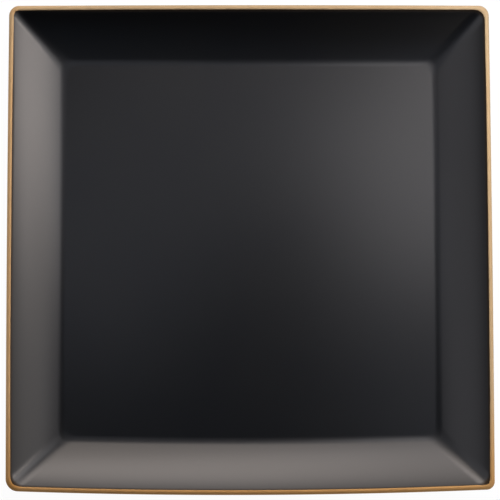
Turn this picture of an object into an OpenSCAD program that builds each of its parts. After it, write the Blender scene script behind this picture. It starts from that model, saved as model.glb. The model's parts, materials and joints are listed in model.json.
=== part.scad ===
// Square dinner plate: a stoneware body with a foot ring, a satin black glaze and a gold rim.
// Origin at the middle of the foot's resting plane, +Z up, +Y towards the back of the plate.
// Each coat is the clay's own section moved outwards, so the coats lie on one another face to face.

/* [Plate] */
// Width between the left and right rims
plate_w = 267; // [250:1:285]
// Height from the table to the top of the lip
plate_h = 25; // [23:0.5:29]
// Plan radius of the rim's four corners
rim_corner_r = 6.6; // [5:0.2:10]
// How far the front and back rims swell outwards at their middles
side_bow = 1.5; // [1.2:0.1:3]
// How far the left and right rims draw in towards their corners
end_draw = 0.35; // [0:0.05:0.6]
// How far the left and right ends drifted backwards in the kiln
firing_drift = 1.1; // [0:0.1:1.2]

/* [Well] */
// Height of the glazed well floor above the table
floor_z = 8.75; // [8:0.25:9.5]
// Plan radius of the well floor's corners
well_corner_r = 6.7; // [4:0.1:9]
// Radius of the hollow curve between floor and wall
wall_fillet_r = 12.5; // [9:0.5:16]
// Plan radius of the wall's corners at the top of the wall
mouth_corner_r = 5.5; // [4:0.1:6.5]
// Radius of the wall's slight upward curve
wall_curve_r = 80; // [72:1:120]
// Slope of the wall where it meets the lip, in degrees
wall_top_slope = 42; // [40:0.5:43]

/* [Lip and outside] */
// Thickness of the rounded lip over its gold band
lip_t = 3.6; // [3:0.1:4]
// How far down the lip's inner side the gold band starts, in degrees from its top
gold_start = 26; // [10:1:36]
// Slope of the outer wall, in degrees
outer_slope = 36; // [35:0.5:38]
// Radius of the turn from the outer wall to the underside
base_turn_r = 12; // [8:0.5:16]
// Plan radius of the underside's corners at that turn
base_corner_r = 9; // [6:0.5:14]

/* [Foot ring] */
// Width of the foot ring over its bare clay
foot_w = 184; // [170:1:194]
// Height of the glazed underside above the table
foot_h = 3; // [2.6:0.1:3.6]
// Width of the foot ring's land
foot_land_w = 4; // [3:0.25:6]
// Plan radius of the foot ring's outer corners
foot_corner_r = 14; // [10:0.5:24]
// Rounding of the foot ring's edges at the table
foot_edge_r = 0.8; // [0.5:0.1:1]
// Radius of the hollow where the foot ring leaves the underside
foot_root_r = 1; // [0.7:0.1:1.2]
// Height of the wiped, bare clay at the foot
bare_h = 1.2; // [1.1:0.05:1.3]

/* [Coats] */
// Thickness of the black glaze
glaze_t = 0.4; // [0.3:0.05:0.5]
// Thickness of the gold band
gold_t = 0.15; // [0.1:0.05:0.2]

/* [Hidden] */

// Facets along each side, round each corner and along the arcs of the section
side_steps = 4;
corner_steps = 5;
fillet_steps = 5;
wall_steps = 6;
roll_steps = 2;
gold_steps = 10;
turn_steps = 5;
small_steps = 3;
ring_points = 4 * (side_steps + corner_steps);

half_w = plate_w / 2;
clay_lip_r = lip_t / 2 - gold_t - glaze_t;
gold_coat = glaze_t + gold_t;

// Section, as [distance from the middle, height]. A slope angle points along [sin, -cos].
function heading(angle) = [sin(angle), -cos(angle)];
function arc(centre, r, from, to, steps) =
    [for (k = [0 : steps]) centre + r * heading(from + (to - from) * k / steps)];

// Lip roll, and the wall's arc that runs into it without a kink
lip_centre = [half_w - lip_t / 2, plate_h - lip_t / 2];
wall_centre = lip_centre - (clay_lip_r + glaze_t + wall_curve_r) * heading(wall_top_slope);

// Floor fillet, which touches both the floor and the wall's arc
fillet_z = floor_z + wall_fillet_r;
arc_gap = wall_curve_r - wall_fillet_r;
wall_low_slope = acos((wall_centre[1] - fillet_z) / arc_gap);
fillet_centre = wall_centre + arc_gap * heading(wall_low_slope);
floor_half = fillet_centre[0];

// Turn under the outer wall, which touches both the outer wall and the underside
under_z = foot_h + glaze_t;
turn_start = lip_centre + (clay_lip_r - base_turn_r) * heading(outer_slope);
turn_run = (turn_start[1] - under_z - base_turn_r) / sin(outer_slope);
turn_centre = turn_start - turn_run * [cos(outer_slope), sin(outer_slope)];

// Foot ring
foot_half = foot_w / 2;
foot_inner_half = foot_half - foot_land_w;

// Plan radius of the corners at a distance from the middle
function between(low, high, share) = low + (high - low) * share;
function face_corner_r(s) = lookup(s, [
    [floor_half, well_corner_r], [half_w - lip_t, mouth_corner_r], [half_w, rim_corner_r]]);
function outer_corner_r(s) =
    between(base_corner_r, rim_corner_r, (s - turn_centre[0]) / (half_w - turn_centre[0]));
function foot_r(s) = foot_corner_r + s - foot_half;

// Stretches of the section at a coat's height over the clay, as [distance, height, corner radius]
function face_part(coat) = [
    for (p = concat(
        arc(fillet_centre, wall_fillet_r + glaze_t - coat, 0, wall_low_slope, fillet_steps),
        arc(wall_centre, wall_curve_r + glaze_t - coat,
            between(wall_low_slope, wall_top_slope, 1 / wall_steps), wall_top_slope, wall_steps - 1)))
    [p[0], p[1], face_corner_r(p[0])]
];
function lip_part(coat, from, to, steps) = [
    for (p = arc(lip_centre, clay_lip_r + coat, from, to, steps))
    [p[0], p[1], face_corner_r(p[0])]
];
function roll_part(coat) = lip_part(coat, wall_top_slope + 180, gold_start + 180, roll_steps);
function gold_part(coat) = lip_part(coat, gold_start + 180, outer_slope, gold_steps);
function outside_part(coat) = [
    for (p = arc(turn_centre, base_turn_r + coat, outer_slope, 0, turn_steps))
    [p[0], p[1], outer_corner_r(p[0])]
];

// The foot ring's side, from the underside down to its wiped, bare clay. out is 1 for its outer side
// and -1 for its inner side. A coat ends its own thickness above the bare clay, and so thins out.
function foot_side(coat, side_half, out) = let (
    root = [side_half + out * foot_root_r, under_z - foot_root_r],
    curve = arc(root, foot_root_r - coat, 180, 180 + out * 90, small_steps)
) [
    for (p = concat(curve, [[side_half + out * coat, bare_h + coat]]))
    [p[0], p[1], foot_r(p[0])]
];
function foot_edge(edge_half, from, to) = [
    for (p = arc([edge_half, foot_edge_r], foot_edge_r, from, to, small_steps))
    [p[0], p[1], foot_r(p[0])]
];

// Whole coats, from the middle of the well outwards and round under the plate to the foot
function coat_path(coat) = concat(
    tail_cut(face_part(coat)), tail_cut(roll_part(coat)), gold_part(coat),
    outside_part(coat), foot_side(coat, foot_half, 1));
function recess_path(coat) = reversed(foot_side(coat, foot_inner_half, -1));
function tail_cut(list) = [for (k = [0 : len(list) - 2]) list[k]];
function reversed(list) = [for (k = [len(list) - 1 : -1 : 0]) list[k]];

// Firing: front and back swell at their middles, the left and right rims draw in towards their
// corners, and both ends drift backwards
function fired(p) = let (
    end_share = pow(p[0] / half_w, 2),
    side_share = pow(p[1] / half_w, 2)
) [
    p[0] * (1 - end_draw / half_w * side_share),
    p[1] * (1 + side_bow / half_w * (1 - end_share)) + firing_drift * end_share,
    p[2]
];

// One ring of the plate: a square with round corners, as points that run anticlockwise
function turned(p, turns) = turns == 0 ? p : turned([-p[1], p[0], p[2]], turns - 1);
function ring(p) = let (s = p[0], z = p[1], r = p[2], flat = s - r) [
    for (turns = [0 : 3], q = concat(
        [for (k = [0 : side_steps - 1]) [s, flat * (2 * k / side_steps - 1), z]],
        [for (k = [0 : corner_steps - 1]) let (a = 90 * k / corner_steps)
            [flat + r * cos(a), flat + r * sin(a), z]]))
    fired(turned(q, turns))
];

// Skin over the rings of a path that runs clockwise round its section. An open path is closed by
// flat lids over its first and last rings, and a looped one runs back into its first ring.
module skin(path, looped = false) {
    last = len(path) - 1;
    rings = [for (p = path) each ring(p)];
    lid_middles = looped ? [] : [for (i = [0, last]) [0, 0, path[i][1]]];
    walls = [for (i = [0 : looped ? last : last - 1], k = [0 : ring_points - 1]) let (
        a = i * ring_points,
        b = (i + 1) % len(path) * ring_points,
        n = (k + 1) % ring_points
    ) each [[a + k, a + n, b + n], [a + k, b + n, b + k]]];
    lids = looped ? [] : [for (k = [0 : ring_points - 1]) let (
        a = last * ring_points,
        n = (k + 1) % ring_points
    ) each [[len(rings), n, k], [len(rings) + 1, a + k, a + n]]];
    polyhedron(points = concat(rings, lid_middles), faces = concat(walls, lids), convexity = 6);
}

// Pressed clay body with its foot ring
module stoneware_body() {
    color("peru")
        skin(concat(
            coat_path(0),
            foot_edge(foot_half - foot_edge_r, 90, 0),
            foot_edge(foot_inner_half + foot_edge_r, 0, -90),
            recess_path(0)));
}

// Black glaze over the well, the walls, the lip and the outside down to the foot ring
module glaze_coat() {
    color("#202124")
        skin(concat(coat_path(glaze_t), reversed(coat_path(0))));
}

// Black glaze inside the foot ring
module base_glaze() {
    color("#2c2d30")
        skin(concat(reversed(recess_path(0)), recess_path(glaze_t)));
}

// Gold band over the top and the outside of the lip
module gold_rim_band() {
    color("#c8a274")
        skin(concat(gold_part(gold_coat), reversed(gold_part(glaze_t))), looped = true);
}

stoneware_body();
glaze_coat();
base_glaze();
gold_rim_band();
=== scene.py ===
import json
import math

import bpy
import numpy as np
from mathutils import Matrix, Vector

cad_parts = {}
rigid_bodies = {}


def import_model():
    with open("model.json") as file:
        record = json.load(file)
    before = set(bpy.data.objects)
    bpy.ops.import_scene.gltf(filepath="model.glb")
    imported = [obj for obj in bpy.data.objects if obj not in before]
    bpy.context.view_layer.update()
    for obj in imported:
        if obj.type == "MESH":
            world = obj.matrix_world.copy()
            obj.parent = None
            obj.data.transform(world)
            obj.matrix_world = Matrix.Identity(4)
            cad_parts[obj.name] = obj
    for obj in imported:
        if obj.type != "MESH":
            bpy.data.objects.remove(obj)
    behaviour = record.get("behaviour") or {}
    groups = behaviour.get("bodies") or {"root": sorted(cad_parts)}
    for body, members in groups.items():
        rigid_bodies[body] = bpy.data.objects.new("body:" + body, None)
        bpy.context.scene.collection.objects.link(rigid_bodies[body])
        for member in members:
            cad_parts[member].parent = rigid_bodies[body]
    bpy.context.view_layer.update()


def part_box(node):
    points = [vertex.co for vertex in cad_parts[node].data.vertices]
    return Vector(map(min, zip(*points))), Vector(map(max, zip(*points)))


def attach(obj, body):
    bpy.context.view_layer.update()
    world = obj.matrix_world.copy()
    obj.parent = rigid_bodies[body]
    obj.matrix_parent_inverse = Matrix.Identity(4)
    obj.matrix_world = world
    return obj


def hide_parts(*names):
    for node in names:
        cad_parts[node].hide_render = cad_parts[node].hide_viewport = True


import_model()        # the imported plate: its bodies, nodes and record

mm = 0.001               # shapes are worked out in millimetres and made in metres

# Section of the plate that the clay, both glazes and the gold share, in millimetres and degrees.
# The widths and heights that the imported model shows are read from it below.
plateForm = {
    "lipThickness": 3.6,        # over the gold, from face to face
    "glazeThickness": 0.4,
    "goldThickness": 0.15,
    "floorHeight": 8.75,        # glazed floor of the well over the table
    "wellCorner": 6.7,          # plan radius of the well floor's corners
    "mouthCorner": 5.5,         # plan radius of the wall's corners at its top
    "rimCorner": 6.6,           # plan radius of the rim's corners
    # How much of that radius each corner really has: right back, left back, left front, right front
    "mouthCornerShares": (1.0, 0.66, 1.1, 1.08),
    "rimCornerShares": (0.86, 0.84, 1.0, 0.66),
    "wallSoftness": 0.75,       # power of cosine and sine in the wall's corners: 1 is a plain arc
    "baseCorner": 9.0,          # plan radius of the underside's corners
    "footCorner": 14.0,         # plan radius of the foot ring's outer corners
    "floorFillet": 12.5,        # hollow between floor and wall
    "wallCurve": 80.0,          # the wall's slight upward curve
    "wallTopSlope": 42.0,
    "outerSlope": 36.0,
    "baseTurn": 12.0,           # turn from the outer wall to the underside
    "footLand": 4.0,            # width of the foot ring
    "footEdge": 0.8,            # rounding of its edges at the table
    "footRoot": 1.0,            # hollow where it leaves the underside
    "endDraw": 0.35,            # how far the left and right rims draw in towards their corners
    "firingDrift": 1.1,         # how far both ends drifted backwards in the kiln
    "wellShift": (0.54, -1.1),  # how far the middle of the well was pressed off centre
}

# How finely the shapes are drawn, in steps of the mesh
meshSteps = {
    "side": 28,                 # along each side of a ring
    "corner": 24,               # round each corner of a ring
    "blend": 5,                 # at both ends of a side, where its look blends into the corner's
    "fillet": 14,               # from here on, along the section
    "wall": 22,
    "lip": 28,
    "gold": 30,
    "outerWall": 9,
    "turn": 14,
    "underside": 7,
    "footRoot": 8,
    "footSide": 3,
    "glazeBead": 6,
    "footEdge": 6,
    # Rings of a flat lid, as shares of the ring round it
    "lid": (0.04, 0.15, 0.3, 0.45, 0.6, 0.75, 0.88, 0.96, 0.99, 0.998),
}


# Unit vector of the section along the outward normal of a face with this slope: 0 points straight
# down, 90 outwards and 180 straight up
def heading(degrees):
    angle = np.radians(degrees)
    return np.stack([np.sin(angle), -np.cos(angle)], -1)


# Points of an arc of the section between two slopes, both ends included
def arcPoints(centre, radius, start, end, steps):
    return centre + radius * heading(np.linspace(start, end, steps + 1))


# Points or rows on a straight line from start to end, both ends left out
def straightPoints(start, end, steps):
    share = np.linspace(0, 1, steps + 1)[1:-1, None]
    return start + (end - start) * share


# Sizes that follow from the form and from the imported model's boxes. The wall's arc touches the
# lip's round, the fillet touches the floor and the wall, and the turn touches the outer wall and
# the underside, so each centre lies its radius away from what it touches.
def solveSection(form):
    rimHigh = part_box("gold_rim_band")[1]
    recessLow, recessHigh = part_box("base_glaze")
    solved = dict(form)
    solved["halfWidth"] = rimHigh[0] / mm
    solved["height"] = rimHigh[2] / mm
    solved["sideBow"] = (rimHigh[1] - rimHigh[0]) / mm
    solved["bareHeight"] = recessLow[2] / mm
    solved["underHeight"] = recessHigh[2] / mm
    solved["footInner"] = recessHigh[0] / mm
    solved["footOuter"] = solved["footInner"] + form["footLand"]
    halfLip = form["lipThickness"] / 2
    clayLip = halfLip - form["goldThickness"] - form["glazeThickness"]
    lipCentre = np.array([solved["halfWidth"] - halfLip, solved["height"] - halfLip])
    reach = clayLip + form["glazeThickness"] + form["wallCurve"]
    wallCentre = lipCentre - reach * heading(form["wallTopSlope"])
    arcGap = form["wallCurve"] - form["floorFillet"]
    drop = wallCentre[1] - form["floorHeight"] - form["floorFillet"]
    solved["wallLowSlope"] = math.degrees(math.acos(drop / arcGap))
    filletCentre = wallCentre + arcGap * heading(solved["wallLowSlope"])
    slope = math.radians(form["outerSlope"])
    turnStart = lipCentre + (clayLip - form["baseTurn"]) * heading(form["outerSlope"])
    turnRun = (turnStart[1] - solved["underHeight"] - form["baseTurn"]) / math.sin(slope)
    turnCentre = turnStart - turnRun * np.array([math.cos(slope), math.sin(slope)])
    solved.update(clayLip=clayLip, lipCentre=lipCentre, wallCentre=wallCentre,
                  filletCentre=filletCentre, floorHalf=filletCentre[0], turnCentre=turnCentre)
    return solved


plate = solveSection(plateForm)
print("section solved: well floor", round(2 * float(plate["floorHalf"]), 1), "mm across")


# Ring template: for each point a row of flat and a row of arc. A point of a ring is the half side
# less the corner radius, times its row of flat, plus the radius times its row of arc. Each quarter
# has a straight side and a corner, and the next one is turned by 90 degrees.
def ringTemplate():
    along = np.arange(meshSteps["side"]) / meshSteps["side"] * 2 - 1
    angle = np.radians(90 * np.arange(meshSteps["corner"]) / meshSteps["corner"])
    sideOnes, cornerOnes = np.ones_like(along), np.ones_like(angle)
    flat = np.vstack([np.column_stack([sideOnes, along]),
                      np.column_stack([cornerOnes, cornerOnes])])
    arc = np.vstack([np.column_stack([sideOnes, np.zeros_like(along)]),
                     np.column_stack([np.cos(angle), np.sin(angle)])])
    quarterTurn = np.array([[0, 1], [-1, 0]])
    turns = [np.linalg.matrix_power(quarterTurn, count) for count in range(4)]
    return np.vstack([flat @ turn for turn in turns]), np.vstack([arc @ turn for turn in turns])


ringFlat, ringArc = ringTemplate()


# Value for each point of a ring, from one value per corner, blended along the sides between them.
# Corners run anticlockwise from the right back one, and sides from the right one. With sides and
# ends given too, a side keeps its own value except over a few steps at both its ends, where it
# blends into the value that ends has beside that corner. Round the corner, that value blends into
# the corner's own in the middle.
def roundRing(corners, sides=None, ends=None):
    side, quarter = meshSteps["side"], meshSteps["side"] + meshSteps["corner"]
    blend = meshSteps["blend"]
    places, values = [], []
    for turn in range(4):
        start = turn * quarter
        if sides is None:
            places += [start, start + side]
            values += [corners[turn - 1], corners[turn]]
        else:
            places += [start, start + blend, start + side - blend, start + side,
                       start + (side + quarter) / 2]
            values += [ends[turn - 1], sides[turn], sides[turn], ends[turn], corners[turn]]
    return np.interp(np.arange(4 * quarter), places, values, period=4 * quarter)


mouthCorner = plate["mouthCorner"] * roundRing(plate["mouthCornerShares"])
rimCorner = plate["rimCorner"] * roundRing(plate["rimCornerShares"])


# Shape of the face's corners at a distance from the middle, as the power of their curve and their
# radius. The radius goes from the floor's to the mouth's up the wall, and to the rim's over the
# lip. Where the power is below 1 the corner starts more gently than an arc, and its radius grows so
# that as much is cut off along the diagonal as by the arc.
def faceCornerAt(distance):
    mouth = plate["halfWidth"] - plate["lipThickness"]
    wallShare = np.clip((distance - plate["floorHalf"]) / (mouth - plate["floorHalf"]), 0, 1)
    lipShare = np.clip((distance - mouth) / plate["lipThickness"], 0, 1)
    radius = (plate["wellCorner"] + (mouthCorner - plate["wellCorner"]) * wallShare
              + (rimCorner - mouthCorner) * lipShare)
    power = plate["wallSoftness"] + (1 - plate["wallSoftness"]) * lipShare
    return power, radius * (1 - 0.5 ** 0.5) / (1 - 0.5 ** (power / 2))


# Rows of a run from points of the section: a distance, a height, the power of the corner's curve,
# and the corner radius for each point of the ring there. This one is for the face and the lip.
def faceRows(points):
    return np.column_stack([points, *faceCornerAt(points[:, :1])])


# Rows for the outside: plain arcs, whose radius goes from the underside's to the rim's
def outerRows(points):
    span = plate["halfWidth"] - plate["turnCentre"][0]
    share = np.clip((points[:, :1] - plate["turnCentre"][0]) / span, 0, 1)
    radius = plate["baseCorner"] + (rimCorner - plate["baseCorner"]) * share
    return np.column_stack([points, np.ones(len(points)), radius])


# Rows for the foot ring: plain arcs about one centre, so the radius grows with the distance
def footRows(points):
    radius = plate["footCorner"] + points[:, :1] - plate["footOuter"]
    return np.column_stack([points, np.ones(len(points)), np.repeat(radius, len(ringFlat), 1)])


# A flat round-cornered lid: the edge ring shrunk towards the middle, from the smallest ring out
def lidRows(edge):
    share = np.array(meshSteps["lid"])[:, None]
    return np.column_stack([edge[0] * share, np.tile(edge[1:3], (len(share), 1)),
                            edge[3:] * share])


# Well floor, fillet and wall at a coat's height over the clay: two arcs that run into each other
def faceStretch(coat):
    thickness = plate["glazeThickness"]
    fillet = arcPoints(plate["filletCentre"], plate["floorFillet"] + thickness - coat,
                       0, plate["wallLowSlope"], meshSteps["fillet"])
    wall = arcPoints(plate["wallCentre"], plate["wallCurve"] + thickness - coat,
                     plate["wallLowSlope"], plate["wallTopSlope"], meshSteps["wall"])
    curve = faceRows(np.vstack([fillet, wall[1:-1]]))
    return np.vstack([lidRows(curve[0]), curve])


# Half-round lip, from the inner wall over the top to the outer wall
def lipStretch(coat):
    return faceRows(arcPoints(plate["lipCentre"], plate["clayLip"] + coat,
                              plate["wallTopSlope"] + 180, plate["outerSlope"], meshSteps["lip"]))


# Straight outer wall, the turn under it and the flat underside as far as the foot ring's root
def outsideStretch(coat):
    turn = arcPoints(plate["turnCentre"], plate["baseTurn"] + coat,
                     plate["outerSlope"], 0, meshSteps["turn"])
    lipEnd = plate["lipCentre"] + (plate["clayLip"] + coat) * heading(plate["outerSlope"])
    wall = outerRows(np.vstack([straightPoints(lipEnd, turn[0], meshSteps["outerWall"]), turn]))
    rootStart = footRows(np.array([[plate["footOuter"] + plate["footRoot"], turn[-1][1]]]))
    return np.vstack([wall, straightPoints(wall[-1], rootStart[0], meshSteps["underside"])])


# One side of the foot ring, from the underside down to the wiped clay, where a coat ends in a
# quarter-round bead. out is 1 for the ring's outer side and -1 for its inner side.
def footSide(coat, side, out):
    root = np.array([side + out * plate["footRoot"], plate["underHeight"] - plate["footRoot"]])
    hollow = arcPoints(root, plate["footRoot"] - coat, 180, 180 + out * 90, meshSteps["footRoot"])
    beadCentre = np.array([side, plate["bareHeight"] + coat])
    low = beadCentre + np.array([out * coat, 0])
    stretches = [hollow, straightPoints(hollow[-1], low, meshSteps["footSide"]), [low]]
    if coat:
        stretches.append(arcPoints(beadCentre, coat, out * 90, 0, meshSteps["glazeBead"])[1:])
    return footRows(np.vstack(stretches))


# Rounded edge of the foot ring at the table
def footEdge(centre, start, end):
    middle = np.array([centre, plate["footEdge"]])
    return footRows(arcPoints(middle, plate["footEdge"], start, end, meshSteps["footEdge"]))


# The face, lip, outside and foot in one run from the middle of the well to the wiped clay
def coatRun(coat):
    return np.vstack([faceStretch(coat), lipStretch(coat), outsideStretch(coat),
                      footSide(coat, plate["footOuter"], 1)])


# The recess inside the foot ring, from the wiped clay up and in to the middle
def recessRun(coat):
    side = footSide(coat, plate["footInner"], -1)
    return np.vstack([side[::-1], lidRows(side[0])[::-1]])


# Pressing and firing moved the plan a little. Front and back swell at their middles, the left and
# right rims draw in towards their corners, and both ends drift back. The well sits off centre, by
# an amount that fades out with the square of the distance towards the rim, and down to the foot.
def fired(points):
    half = plate["halfWidth"]
    endShare = (points[..., 0] / half) ** 2
    sideShare = (points[..., 1] / half) ** 2
    swell = 1 + plate["sideBow"] / half * (1 - endShare)
    above = (points[..., 2] - plate["underHeight"]) / (plate["floorHeight"] - plate["underHeight"])
    press = (1 - np.maximum(endShare, sideShare)) * np.clip(above, 0, 1)
    shiftX, shiftY = plate["wellShift"]
    return np.stack([points[..., 0] * (1 - plate["endDraw"] / half * sideShare) + shiftX * press,
                     points[..., 1] * swell + plate["firingDrift"] * endShare + shiftY * press,
                     points[..., 2]], -1)


# Grid of points: each row becomes one ring of the plate. The distance, the height and the power may
# be one for the whole ring or differ from point to point of it, as the corner radius does.
def ringGrid(distance, height, power, radius):
    curve = np.sign(ringArc) * np.abs(ringArc) ** power[..., None]
    plan = (distance - radius)[..., None] * ringFlat + radius[..., None] * curve
    height = np.broadcast_to(height, plan.shape[:2])
    return fired(np.concatenate([plan, height[..., None]], -1))


# Grid of a run, whose rows hold what ringGrid takes, side by side
def runGrid(run):
    return ringGrid(run[:, :1], run[:, 1:2], run[:, 2:3], run[:, 3:])


# Closed shell over a grid of rings: each face joins two neighbouring points of a ring to the same
# two of the next ring. An open grid gets a middle point at both ends; a looped one runs back into
# its first ring. Faces are wound to point outwards.
def makeShell(name, grid, looped=False):
    rings, around = grid.shape[:2]
    points = grid.reshape(-1, 3)
    ring = np.arange(rings if looped else rings - 1)[:, None]
    place = np.arange(around)
    nextPlace = (place + 1) % around
    here, there = ring * around, (ring + 1) % rings * around
    quads = np.stack([here + place, there + place, there + nextPlace, here + nextPlace], -1)
    faces = quads.reshape(-1, 4).tolist()
    if not looped:
        middles = np.array([[0, 0, grid[0, 0, 2]], [0, 0, grid[-1, 0, 2]]])
        last = (rings - 1) * around
        first = np.column_stack([np.full(around, len(points)), place, nextPlace])
        end = np.column_stack([np.full(around, len(points) + 1), last + nextPlace, last + place])
        points = np.vstack([points, middles])
        faces += first.tolist() + end.tolist()
    mesh = bpy.data.meshes.new(name)
    mesh.from_pydata((points * mm).tolist(), [], faces)
    mesh.polygons.foreach_set("use_smooth", np.ones(len(mesh.polygons), dtype=bool))
    mesh.update()
    piece = bpy.data.objects.new(name, mesh)
    bpy.context.scene.collection.objects.link(piece)
    return piece


# Puts a piece in its node's place, on the plate's one body
def dress(piece, node, material):
    piece.data.materials.append(material)
    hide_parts(node)
    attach(piece, "root")


# Number for each point of a piece's mesh, for its material to read. Middle points get 0.
def addLook(mesh, name, values):
    values = np.concatenate([values.ravel(), np.zeros(len(mesh.vertices) - values.size)])
    attribute = mesh.attributes.new(name, "FLOAT", "POINT")
    attribute.data.foreach_set("value", values.astype(np.float32))


# Number round the ring from the settings of a look for its sides, its ends and its corners
def lookRound(look, word):
    return roundRing(*(look[place + word] for place in ("corner", "side", "end")))


# Linear colour with alpha from an sRGB hex such as #c8a274, by the sRGB standard's own curve
def hexColour(text):
    srgb = np.array([int(text[start:start + 2], 16) for start in (1, 3, 5)]) / 255
    linear = np.where(srgb <= 0.04045, srgb / 12.92, ((srgb + 0.055) / 1.055) ** 2.4)
    return (*linear.tolist(), 1.0)


# Adds a node. settings are its own properties. inputs are its sockets, by name, or by number where
# several have one name, and hold a value or a socket to link from.
def addNode(tree, kind, settings, inputs):
    node = tree.nodes.new(kind)
    for key, value in settings.items():
        setattr(node, key, value)
    for key, value in inputs.items():
        if isinstance(value, bpy.types.NodeSocket):
            tree.links.new(value, node.inputs[key])
        else:
            node.inputs[key].default_value = value
    return node


# Numbers of a Mix node's sockets for colours, as those for plain numbers have the same names
mixShare, mixFirst, mixSecond, mixResult = 0, 6, 7, 2


# New material with an empty tree
def startMaterial(name):
    material = bpy.data.materials.new(name)
    material.use_nodes = True
    material.node_tree.nodes.clear()
    return material, material.node_tree


clayLook = {
    "body": "#b79c7b",          # buff stoneware
    "warm": "#a3825f",          # toasted patches
    "speck": "#5f4632",         # iron specks
    "patches": 22.0,            # size of the toasted patches, mm
    "patchLevels": (0.35, 0.7),     # noise levels where they start and are full
    "specks": 1.9,              # mean distance between specks, mm
    "speckRadii": (0.19, 0.304),    # of a speck's dark middle and of its faint edge, mm
    "speckShare": 0.75,         # how much of the clay's colour a speck hides
    "grain": 0.5,               # sanded grain, mm
    "grainRoughness": 0.65,     # how strong the finest of it is
    "grainHeight": 0.05,        # mm
    "grainStrength": 0.7,
    "roughness": 0.86,
    "ior": 1.48,
}


# Bare fired stoneware, wiped and sanded at the foot: dull, slightly rough, speckled with iron
def wipedStoneware(name, look):
    material, tree = startMaterial(name)
    place = addNode(tree, "ShaderNodeTexCoord", {}, {}).outputs["Object"]
    patch = addNode(tree, "ShaderNodeTexNoise", {}, {
        "Vector": place, "Scale": 1 / (look["patches"] * mm), "Detail": 3})
    start, full = look["patchLevels"]
    patchShare = addNode(tree, "ShaderNodeMapRange", {}, {
        "Value": patch.outputs["Fac"], "From Min": start, "From Max": full})
    ground = addNode(tree, "ShaderNodeMix", {"data_type": "RGBA"}, {
        mixShare: patchShare.outputs["Result"], mixFirst: hexColour(look["body"]),
        mixSecond: hexColour(look["warm"])})
    cells = addNode(tree, "ShaderNodeTexVoronoi", {"feature": "F1"}, {
        "Vector": place, "Scale": 1 / (look["specks"] * mm)})
    middle, edge = (radius / look["specks"] for radius in look["speckRadii"])
    speck = addNode(tree, "ShaderNodeMapRange", {}, {
        "Value": cells.outputs["Distance"], "From Min": middle, "From Max": edge,
        "To Min": look["speckShare"], "To Max": 0})
    colour = addNode(tree, "ShaderNodeMix", {"data_type": "RGBA"}, {
        mixShare: speck.outputs["Result"], mixFirst: ground.outputs[mixResult],
        mixSecond: hexColour(look["speck"])})
    grain = addNode(tree, "ShaderNodeTexNoise", {}, {
        "Vector": place, "Scale": 1 / (look["grain"] * mm), "Detail": 4,
        "Roughness": look["grainRoughness"]})
    bump = addNode(tree, "ShaderNodeBump", {}, {
        "Strength": look["grainStrength"], "Distance": look["grainHeight"] * mm,
        "Height": grain.outputs["Fac"]})
    shader = addNode(tree, "ShaderNodeBsdfPrincipled", {}, {
        "Base Color": colour.outputs[mixResult], "Roughness": look["roughness"],
        "IOR": look["ior"], "Normal": bump.outputs["Normal"]})
    addNode(tree, "ShaderNodeOutputMaterial", {}, {"Surface": shader.outputs["BSDF"]})
    return material


# Clay body: the coat run at the clay's own height, round the foot ring and up into the recess
def makeClay():
    run = np.vstack([coatRun(0),
                     footEdge(plate["footOuter"] - plate["footEdge"], 90, 0),
                     footEdge(plate["footInner"] + plate["footEdge"], 0, -90),
                     recessRun(0)])
    piece = makeShell("clayBody", runGrid(run))
    dress(piece, "stoneware_body", wipedStoneware("wipedStoneware", clayLook))
    print("clay body:", len(piece.data.polygons), "faces")


glazeLook = {
    "dark": "#010102",          # the fired black
    "light": "#030303",         # faint clouding where it cooled unevenly
    "cloud": 38.0,              # size of the clouding, mm
    "cloudLevels": (0.35, 0.65),    # noise levels where it starts and is full
    "waves": 14.0,              # long ripple from the spray, mm
    "waveHeight": 0.004,        # mm
    "peel": 1.6,                # orange peel, mm: drawn about twice too coarse, to show at all
    "peelHeight": 0.002,        # mm
    "peelLevels": (0.3, 0.7),   # noise levels that get the lowest and the highest roughness
    "roughness": (0.279, 0.299),
    "ior": 1.5,
    "pinholes": 17.0,           # mean distance between pinholes, mm
    "pinholeRadii": (0.102, 0.272),     # of a pinhole's bottom and of its brim, mm
    "pinholeDepth": 0.05,       # mm
    "pinholeStrength": 0.6,
    "film": "#2a2015",          # painted shade: a dull brown-black metal on the glaze beside the gold, for the dark line there
    "paintedShadeRoughness": 0.6,
    "paintedShadeDrop": (1.1, 0.8),     # mm below the lip's top, where the painted shade starts and is full
    # How much of the glaze the painted shade hides. Sides go right, back, left, front. Ends and
    # corners go right back, left back, left front, right front, and ends are the places beside a
    # corner.
    "sideFilm": (0.78, 0.78, 0.65, 0.55),
    "endFilm": (0.78, 0.25, 0.65, 0.5),
    "cornerFilm": (0.78, 0.3, 0.9, 0.9),
    # How much lower than the drop above the painted shade starts, mm; it reaches furthest down in
    # the corners
    "sideShadeReach": (0.0, 0.0, 0.0, -0.15),
    "endShadeReach": (0.0, 0.0, 0.0, -0.1),
    "cornerShadeReach": (0.25, 0.25, 0.4, 0.3),
}

# The same glaze inside the foot ring, where it fired duller and with more pinholes
recessLook = dict(glazeLook, roughness=(0.36, 0.42), pinholes=11.0, pinholeRadii=(0.066, 0.176))


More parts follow.
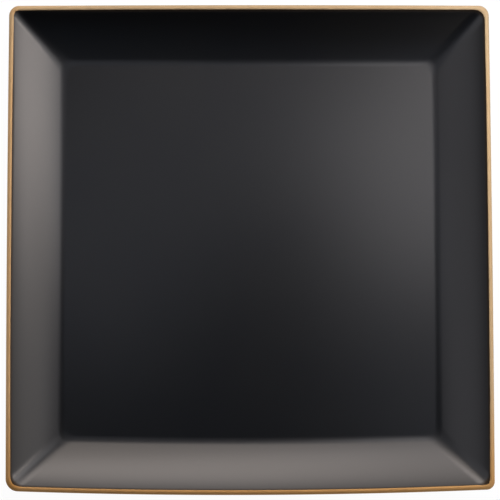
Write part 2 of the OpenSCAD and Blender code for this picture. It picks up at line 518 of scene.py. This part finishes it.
# Satin black glaze, sprayed and fired: a glassy coat with fine crystals in it, which spread a
# reflection softly, so that the plate mirrors the lamps as broad dim sheens and is black elsewhere
def satinGlaze(name, look):
    material, tree = startMaterial(name)
    place = addNode(tree, "ShaderNodeTexCoord", {}, {}).outputs["Object"]
    noise = {}
    for pattern, detail in (("cloud", 3), ("peel", 2), ("waves", 1)):
        noise[pattern] = addNode(tree, "ShaderNodeTexNoise", {}, {
            "Vector": place, "Scale": 1 / (look[pattern] * mm), "Detail": detail}).outputs["Fac"]
    start, full = look["cloudLevels"]
    cloudShare = addNode(tree, "ShaderNodeMapRange", {}, {
        "Value": noise["cloud"], "From Min": start, "From Max": full})
    black = addNode(tree, "ShaderNodeMix", {"data_type": "RGBA"}, {
        mixShare: cloudShare.outputs["Result"], mixFirst: hexColour(look["dark"]),
        mixSecond: hexColour(look["light"])})
    # Painted shade beside the gold: where this attribute is set, a dull dark metal takes the
    # glaze's place and darkens its sheen
    film = addNode(tree, "ShaderNodeAttribute", {"attribute_name": "film"}, {}).outputs["Fac"]
    colour = addNode(tree, "ShaderNodeMix", {"data_type": "RGBA"}, {
        mixShare: film, mixFirst: black.outputs[mixResult], mixSecond: hexColour(look["film"])})
    low, high = look["peelLevels"]
    smooth, dull = look["roughness"]
    glazeRoughness = addNode(tree, "ShaderNodeMapRange", {}, {
        "Value": noise["peel"], "From Min": low, "From Max": high,
        "To Min": smooth, "To Max": dull})
    roughness = addNode(tree, "ShaderNodeMix", {"data_type": "FLOAT"}, {
        "Factor": film, "A": glazeRoughness.outputs["Result"], "B": look["paintedShadeRoughness"]})
    cells = addNode(tree, "ShaderNodeTexVoronoi", {"feature": "F1"}, {
        "Vector": place, "Scale": 1 / (look["pinholes"] * mm)})
    bottom, brim = (radius / look["pinholes"] for radius in look["pinholeRadii"])
    pinhole = addNode(tree, "ShaderNodeMapRange", {}, {
        "Value": cells.outputs["Distance"], "From Min": bottom, "From Max": brim})
    waveBump = addNode(tree, "ShaderNodeBump", {}, {
        "Strength": 1.0, "Distance": look["waveHeight"] * mm, "Height": noise["waves"]})
    peelBump = addNode(tree, "ShaderNodeBump", {}, {
        "Strength": 1.0, "Distance": look["peelHeight"] * mm, "Height": noise["peel"],
        "Normal": waveBump.outputs["Normal"]})
    pinholeBump = addNode(tree, "ShaderNodeBump", {}, {
        "Strength": look["pinholeStrength"], "Distance": look["pinholeDepth"] * mm,
        "Height": pinhole.outputs["Result"], "Normal": peelBump.outputs["Normal"]})
    shader = addNode(tree, "ShaderNodeBsdfPrincipled", {}, {
        "Base Color": colour.outputs[mixResult], "Metallic": film,
        "Roughness": roughness.outputs["Result"], "IOR": look["ior"],
        "Normal": pinholeBump.outputs["Normal"]})
    addNode(tree, "ShaderNodeOutputMaterial", {}, {"Surface": shader.outputs["BSDF"]})
    return material


# Main glaze: out along the glaze's face to the foot, and back along the clay. Painted shade on it
# beside the gold grows with height between two levels near the lip's top, and starts lower in the
# corners.
def makeGlaze():
    grid = runGrid(np.vstack([coatRun(plate["glazeThickness"]), coatRun(0)[::-1]]))
    piece = makeShell("blackGlaze", grid)
    # Painted shade: grows with height near the lip's top, and is painted further down in the
    # corners
    level = grid[..., 2] + lookRound(glazeLook, "ShadeReach")
    start, full = plate["height"] - np.array(glazeLook["paintedShadeDrop"])
    film = lookRound(glazeLook, "Film") * np.clip((level - start) / (full - start), 0, 1)
    addLook(piece.data, "film", film)
    dress(piece, "glaze_coat", satinGlaze("satinBlackGlaze", glazeLook))
    print("glaze coat:", len(piece.data.polygons), "faces")


# Glaze of the recess: out along the clay's ceiling to the foot, and back along the glaze's face.
# It has no attribute of painted shade, which its material reads as 0.
def makeRecessGlaze():
    run = np.vstack([recessRun(0)[::-1], recessRun(plate["glazeThickness"])])
    piece = makeShell("recessGlaze", runGrid(run))
    dress(piece, "base_glaze", satinGlaze("satinRecessGlaze", recessLook))
    print("recess glaze:", len(piece.data.polygons), "faces")


goldLook = {
    "bright": "#cbbca0",        # full lustre
    "deep": "#baa786",          # where the brush left it thinner
    "worn": "#897355",          # painted shade: a darker, greyer tone, mostly at the back
    "warm": "#c69d66",          # painted shade: a warmer, deeper gold, mostly on the left
    "brown": "#a87c38",         # painted shade: a darker brown, most of all along the front
    "edge": "#4a3420",          # brown at both edges of the band: partly lustre thinning out on the black, partly painted shade
    "thinEdgeAndShade": (0.93, 0.8),      # where it starts, 1 being the band's edge, and its share at 1
    "streakLong": 9.0,          # length of a brush streak along the rim, mm
    "streakWide": 0.22,         # width of one across the rim, mm
    "streakHeight": 0.004,      # mm
    "streakStrength": 0.5,
    "streakLevels": (0.3, 0.7),     # noise levels that are all deep and all bright
    "blotches": 11.0,           # size of the deeper blotches, mm
    "blotchLevels": (0.35, 0.75),   # noise levels where they start and are full
    "blotchShare": 0.35,        # how deep a full one is
    "roughness": (0.74, 0.84),
    # Angles round the lip, in degrees. Starts are counted inwards from its top, in the orders that
    # the glaze's painted shade has: sides right, back, left, front; ends and corners right back,
    # left back, left front, right front.
    "sideStarts": (24, 31, 26.5, 35),
    "endStarts": (30, 38, 36, 40),
    "cornerStarts": (31, 18, 19, 6),
    "stop": 0.5,                # how near the band comes to the outer wall's start
    "wander": 2.5,              # how far the band's edges wander
    "waves": (3, 7, 12, 19, 31, 46),    # whole waves round the rim that they wander in
    "waveWeights": (0.5, 1.0),  # between which each wave's weight is drawn
    "innerSeed": 3,
    "outerSeed": 8,
    "edgeThinning": 0.85,       # share of its thickness that the band has lost at its edges
    "edgeSharpness": 12,        # power of the distance across the band by which it thins out
    # Shares of the painted shade tones, grey, warm and brown, in the same orders
    "sideWorn": (0.2, 0.5, 0.0, 0.0),
    "endWorn": (0.35, 0.3, 0.1, 0.0),
    "cornerWorn": (0.5, 0.3, 0.1, 0.0),
    "sideWarm": (0.0, 0.0, 0.45, 0.3),
    "endWarm": (0.0, 0.1, 0.45, 0.2),
    "cornerWarm": (0.0, 0.3, 0.5, 0.2),
    "sideBrown": (0.15, 0.05, 0.12, 0.65),
    "endBrown": (0.0, 0.1, 0.5, 0.65),
    "cornerBrown": (0.0, 0.2, 0.75, 0.65),
}
goldTones = ("worn", "warm", "brown")


# Fired gold lustre, banded on by brush over a satin glaze: a thin metal layer that takes the
# glaze's softness, so it looks tan rather than mirror-like, with faint streaks along the rim
def bandedGold(name, look):
    material, tree = startMaterial(name)
    band = addNode(tree, "ShaderNodeUVMap", {"uv_map": "bandMap"}, {})
    stretched = addNode(tree, "ShaderNodeMapping", {}, {
        "Vector": band.outputs["UV"],
        "Scale": (1 / look["streakLong"], 1 / look["streakWide"], 1)})
    streak = addNode(tree, "ShaderNodeTexNoise", {}, {
        "Vector": stretched.outputs["Vector"], "Scale": 1.0, "Detail": 3}).outputs["Fac"]
    low, high = look["streakLevels"]
    streakShare = addNode(tree, "ShaderNodeMapRange", {}, {
        "Value": streak, "From Min": low, "From Max": high})
    smooth, dull = look["roughness"]
    roughness = addNode(tree, "ShaderNodeMapRange", {}, {
        "Value": streak, "From Min": low, "From Max": high, "To Min": smooth, "To Max": dull})
    streaky = addNode(tree, "ShaderNodeMix", {"data_type": "RGBA"}, {
        mixShare: streakShare.outputs["Result"], mixFirst: hexColour(look["deep"]),
        mixSecond: hexColour(look["bright"])})
    place = addNode(tree, "ShaderNodeTexCoord", {}, {}).outputs["Object"]
    blotch = addNode(tree, "ShaderNodeTexNoise", {}, {
        "Vector": place, "Scale": 1 / (look["blotches"] * mm), "Detail": 2})
    start, full = look["blotchLevels"]
    blotchShare = addNode(tree, "ShaderNodeMapRange", {}, {
        "Value": blotch.outputs["Fac"], "From Min": start, "From Max": full,
        "To Max": look["blotchShare"]})
    toned = addNode(tree, "ShaderNodeMix", {"data_type": "RGBA"}, {
        mixShare: blotchShare.outputs["Result"], mixFirst: streaky.outputs[mixResult],
        mixSecond: hexColour(look["deep"])})
    # Painted shade: the three tones darken and warm the band side by side, as the light falls on it
    for tone in goldTones:
        share = addNode(tree, "ShaderNodeAttribute", {"attribute_name": tone}, {})
        toned = addNode(tree, "ShaderNodeMix", {"data_type": "RGBA"}, {
            mixShare: share.outputs["Fac"], mixFirst: toned.outputs[mixResult],
            mixSecond: hexColour(look[tone])})
    # Both edges darken to brown: partly the lustre thinning out, partly painted shade beside the
    # gold
    across = addNode(tree, "ShaderNodeAttribute", {"attribute_name": "acrossBand"}, {})
    start, edgeShare = look["thinEdgeAndShade"]
    thinEdgeAndShade = addNode(tree, "ShaderNodeMapRange", {}, {
        "Value": across.outputs["Fac"], "From Min": start, "From Max": 1, "To Max": edgeShare})
    colour = addNode(tree, "ShaderNodeMix", {"data_type": "RGBA"}, {
        mixShare: thinEdgeAndShade.outputs["Result"], mixFirst: toned.outputs[mixResult],
        mixSecond: hexColour(look["edge"])})
    bump = addNode(tree, "ShaderNodeBump", {}, {
        "Strength": look["streakStrength"], "Distance": look["streakHeight"] * mm,
        "Height": streak})
    shader = addNode(tree, "ShaderNodeBsdfPrincipled", {}, {
        "Base Color": colour.outputs[mixResult], "Metallic": 1.0,
        "Roughness": roughness.outputs["Result"], "Normal": bump.outputs["Normal"]})
    addNode(tree, "ShaderNodeOutputMaterial", {}, {"Surface": shader.outputs["BSDF"]})
    return material


# Smooth wander along the rim from -1 to 1: a sum of whole sine waves, each with a phase and a
# weight that the seed gives it
def rimWander(seed):
    rng = np.random.default_rng(seed)
    around = len(ringFlat)
    turn = np.arange(around)[:, None] / around * 2 * np.pi
    waves = np.array(goldLook["waves"])
    phases = rng.uniform(0, 2 * np.pi, len(waves))
    weights = rng.uniform(*goldLook["waveWeights"], len(waves))
    return (np.sin(turn * waves + phases) * weights).sum(1) / weights.sum()


# Map of the band in millimetres: u runs along the rim and v across it. The attribute acrossBand
# is 0 on the middle of the band and 1 at both edges.
def addBandMap(mesh, grid, share):
    rim = grid[len(share) // 2]
    rimSteps = np.linalg.norm(np.roll(rim, -1, 0) - rim, axis=1)
    rimPlace = np.concatenate([[0], np.cumsum(rimSteps)])
    across = np.concatenate([share[:, 0], share[::-1, 0]])
    bandWidth = (plate["clayLip"] + plate["glazeThickness"]) * np.pi
    bandPlace = np.concatenate([across, across[:1]]) * bandWidth
    low, high = rimPlace[:-1][None, :], rimPlace[1:][None, :]
    here, there = bandPlace[:-1, None], bandPlace[1:, None]
    corners = [(low, here), (low, there), (high, there), (high, here)]
    grids = [np.stack(np.broadcast_arrays(*corner), -1) for corner in corners]
    layer = mesh.uv_layers.new(name="bandMap")
    layer.data.foreach_set("uv", np.stack(grids, 2).astype(np.float32).ravel())
    addLook(mesh, "acrossBand", np.repeat(np.abs(2 * across - 1), grid.shape[1]))


# Gold band: the lip's roll at the gold's height between two wandering edges, thinned out at both
# edges, and back along the glaze below it
def makeGold():
    wander = goldLook["wander"]
    inner = 180 + lookRound(goldLook, "Starts") + wander * rimWander(goldLook["innerSeed"])
    outer = (plate["outerSlope"] + goldLook["stop"]
             + wander * (rimWander(goldLook["outerSeed"]) + 1) / 2)
    share = np.linspace(0, 1, meshSteps["gold"] + 1)[:, None]
    angle = inner + (outer - inner) * share
    feather = 1 - goldLook["edgeThinning"] * np.abs(2 * share - 1) ** goldLook["edgeSharpness"]
    base = plate["clayLip"] + plate["glazeThickness"]
    grids = []
    for radius in (base + plate["goldThickness"] * feather, np.full_like(share, base)):
        points = plate["lipCentre"] + radius[..., None] * heading(angle)
        grids.append(ringGrid(points[..., 0], points[..., 1], *faceCornerAt(points[..., 0])))
    grid = np.vstack([grids[0], grids[1][::-1]])
    piece = makeShell("goldBand", grid, looped=True)
    addBandMap(piece.data, grid, share)
    # Painted shade tones, one share for each point round the ring
    for tone in goldTones:
        addLook(piece.data, tone, np.tile(lookRound(goldLook, tone.capitalize()), len(grid)))
    dress(piece, "gold_rim_band", bandedGold("brushedGoldLustre", goldLook))
    print("gold band:", len(piece.data.polygons), "faces")


makeClay()
makeGlaze()
makeRecessGlaze()
makeGold()


tableLook = {
    "size": 9.0,                # side of the table top, m
    "colour": "#fafafa",
    "glow": 0.96,               # share of plain white that the eye and mirrors see
}


# Studio table: a white sheet that keeps the plate's shadow
def makeTable():
    half = tableLook["size"] / 2
    mesh = bpy.data.meshes.new("studioTable")
    mesh.from_pydata([(-half, -half, 0), (half, -half, 0), (half, half, 0), (-half, half, 0)],
                     [], [(0, 1, 2, 3)])
    table = bpy.data.objects.new("studioTable", mesh)
    bpy.context.scene.collection.objects.link(table)
    material, tree = startMaterial("whiteSweep")
    path = addNode(tree, "ShaderNodeLightPath", {}, {})
    seen = path.outputs["Is Camera Ray"]
    for ray in ("Is Glossy Ray", "Is Transmission Ray"):
        seen = addNode(tree, "ShaderNodeMath", {"operation": "MAXIMUM"}, {
            0: seen, 1: path.outputs[ray]}).outputs["Value"]
    share = addNode(tree, "ShaderNodeMath", {"operation": "MULTIPLY"}, {
        0: seen, 1: tableLook["glow"]})
    sheet = addNode(tree, "ShaderNodeBsdfDiffuse", {}, {"Color": hexColour(tableLook["colour"])})
    glow = addNode(tree, "ShaderNodeEmission", {}, {"Color": (1, 1, 1, 1), "Strength": 1.0})
    mix = addNode(tree, "ShaderNodeMixShader", {}, {
        0: share.outputs["Value"], 1: sheet.outputs["BSDF"], 2: glow.outputs["Emission"]})
    addNode(tree, "ShaderNodeOutputMaterial", {}, {"Surface": mix.outputs["Shader"]})
    mesh.materials.append(material)


# Soft boxes by direction from the plate: azimuth is counted from +X towards +Y, in degrees, and
# distance, width and height are in metres. radiance is how bright the box's face is, where 1 is
# plain white. Each note says where the camera sees its sheen: a wall mirrors the boxes on the
# other side of the plate.
softBoxes = {
    "rightStrip": {             # left wall, brightest towards the back
        "azimuth": 13.3, "elevation": 34.6, "distance": 2.136,
        "width": 0.06, "height": 1.311, "radiance": 20.84, "tint": (1.13, 1.0, 0.93)},
    "lowRightCard": {           # left wall, evenly along it
        "azimuth": 1.2, "elevation": 37.8, "distance": 0.48,
        "width": 1.248, "height": 0.309, "radiance": 1.461, "tint": (1.05, 1.0, 0.99)},
    "backWindow": {             # front wall
        "azimuth": 100.0, "elevation": 39.2, "distance": 1.21,
        "width": 0.709, "height": 0.856, "radiance": 3.033, "tint": (1.12, 1.0, 0.92)},
    "backRightBox": {           # front wall, and the left wall towards the back
        "azimuth": 63.2, "elevation": 34.5, "distance": 0.42,
        "width": 0.947, "height": 0.29, "radiance": 2.696, "tint": (1.09, 1.0, 0.97)},
    "leftCard": {               # right wall
        "azimuth": 175.0, "elevation": 42.4, "distance": 0.658,
        "width": 0.823, "height": 0.461, "radiance": 0.917, "tint": (1.01, 1.0, 1.08)},
    "nearRightCard": {          # floor towards the right back, and the foot of the left wall
        "azimuth": 31.3, "elevation": 62.1, "distance": 0.467,
        "width": 0.167, "height": 0.232, "radiance": 2.384, "tint": (1.04, 1.0, 1.01)},
    "highRightCard": {          # right half of the floor
        "azimuth": 20.6, "elevation": 68.6, "distance": 0.42,
        "width": 0.674, "height": 0.193, "radiance": 0.331, "tint": (0.95, 1.0, 1.19)},
    "overheadCard": {           # floor towards the left back
        "azimuth": 141.8, "elevation": 73.6, "distance": 0.42,
        "width": 0.264, "height": 0.187, "radiance": 0.482, "tint": (0.97, 1.0, 1.14)},
    "ceiling": {                # faint and bluish over the whole floor
        "azimuth": 239.2, "elevation": 65.4, "distance": 2.363,
        "width": 2.003, "height": 3.0, "radiance": 0.071, "tint": (0.77, 1.0, 1.36)},
}


# Rectangular lamp that faces the plate, with its width level. Its power in watts is its radiance
# times pi times its area.
def addSoftBox(name, box):
    azimuth, elevation = math.radians(box["azimuth"]), math.radians(box["elevation"])
    away = Vector((math.cos(elevation) * math.cos(azimuth),
                   math.cos(elevation) * math.sin(azimuth), math.sin(elevation)))
    level = Vector((-math.sin(azimuth), math.cos(azimuth), 0))
    light = bpy.data.lights.new(name, "AREA")
    light.shape = "RECTANGLE"
    light.size, light.size_y = box["width"], box["height"]
    light.energy = box["radiance"] * math.pi * box["width"] * box["height"]
    light.color = box["tint"]
    lamp = bpy.data.objects.new(name, light)
    axes = Matrix((level, away.cross(level), away)).transposed().to_4x4()
    lamp.matrix_world = Matrix.Translation(away * box["distance"]) @ axes
    lamp.visible_camera = False
    bpy.context.scene.collection.objects.link(lamp)


roomLook = {
    "dark": "#1a1b1d",          # the dark room above the table
    "pale": "#f2f2f2",          # the white sweep where the table ends
    "sweep": (0.03, 0.1),       # height, as a sine, over which the sweep gives way to the room
}


# The room: a white sweep up to a little over the horizon, and a dark studio above it
def makeRoom():
    world = bpy.data.worlds.new("darkStudio")
    bpy.context.scene.world = world
    world.use_nodes = True
    tree = world.node_tree
    tree.nodes.clear()
    direction = addNode(tree, "ShaderNodeTexCoord", {}, {}).outputs["Generated"]
    height = addNode(tree, "ShaderNodeSeparateXYZ", {}, {"Vector": direction}).outputs["Z"]
    start, end = roomLook["sweep"]
    share = addNode(tree, "ShaderNodeMapRange", {}, {
        "Value": height, "From Min": start, "From Max": end})
    colour = addNode(tree, "ShaderNodeMix", {"data_type": "RGBA"}, {
        mixShare: share.outputs["Result"], mixFirst: hexColour(roomLook["pale"]),
        mixSecond: hexColour(roomLook["dark"])})
    background = addNode(tree, "ShaderNodeBackground", {}, {
        "Color": colour.outputs[mixResult], "Strength": 1.0})
    addNode(tree, "ShaderNodeOutputWorld", {}, {"Surface": background.outputs["Background"]})


cameraLook = {
    "elevation": 85.94,         # almost straight down, from a little in front
    "azimuth": -8.3,            # from straight in front, counted to the right, degrees
    "roll": -0.15,
    "distance": 0.9153,         # from the target, m
    "target": (0.00015, -0.00057, 0.012),
    "lens": 118.4,              # mm
    "sensor": 36,               # its width, mm
    "nearest": 0.05,            # m
}


# Camera at the photograph's place: up in the picture is the plate's +Y
def addCamera():
    elevation, azimuth = (math.radians(cameraLook[key]) for key in ("elevation", "azimuth"))
    back = Vector((math.cos(elevation) * math.sin(azimuth),
                   -math.cos(elevation) * math.cos(azimuth), math.sin(elevation)))
    right = Vector((0, 1, 0)).cross(back).normalized()
    up = back.cross(right)
    axes = Matrix((right, up, back)).transposed().to_4x4()
    spin = Matrix.Rotation(math.radians(cameraLook["roll"]), 4, "Z")
    data = bpy.data.cameras.new("cameraAbove")
    data.sensor_width = cameraLook["sensor"]
    data.lens = cameraLook["lens"]
    data.clip_start = cameraLook["nearest"]
    camera = bpy.data.objects.new("cameraAbove", data)
    place = Vector(cameraLook["target"]) + back * cameraLook["distance"]
    camera.matrix_world = Matrix.Translation(place) @ axes @ spin
    bpy.context.scene.collection.objects.link(camera)
    bpy.context.scene.camera = camera


makeTable()
for boxName, boxSettings in softBoxes.items():
    addSoftBox(boxName, boxSettings)
makeRoom()
addCamera()
bpy.context.scene.view_settings.view_transform = "Standard"
print("stage, lamps and camera set")
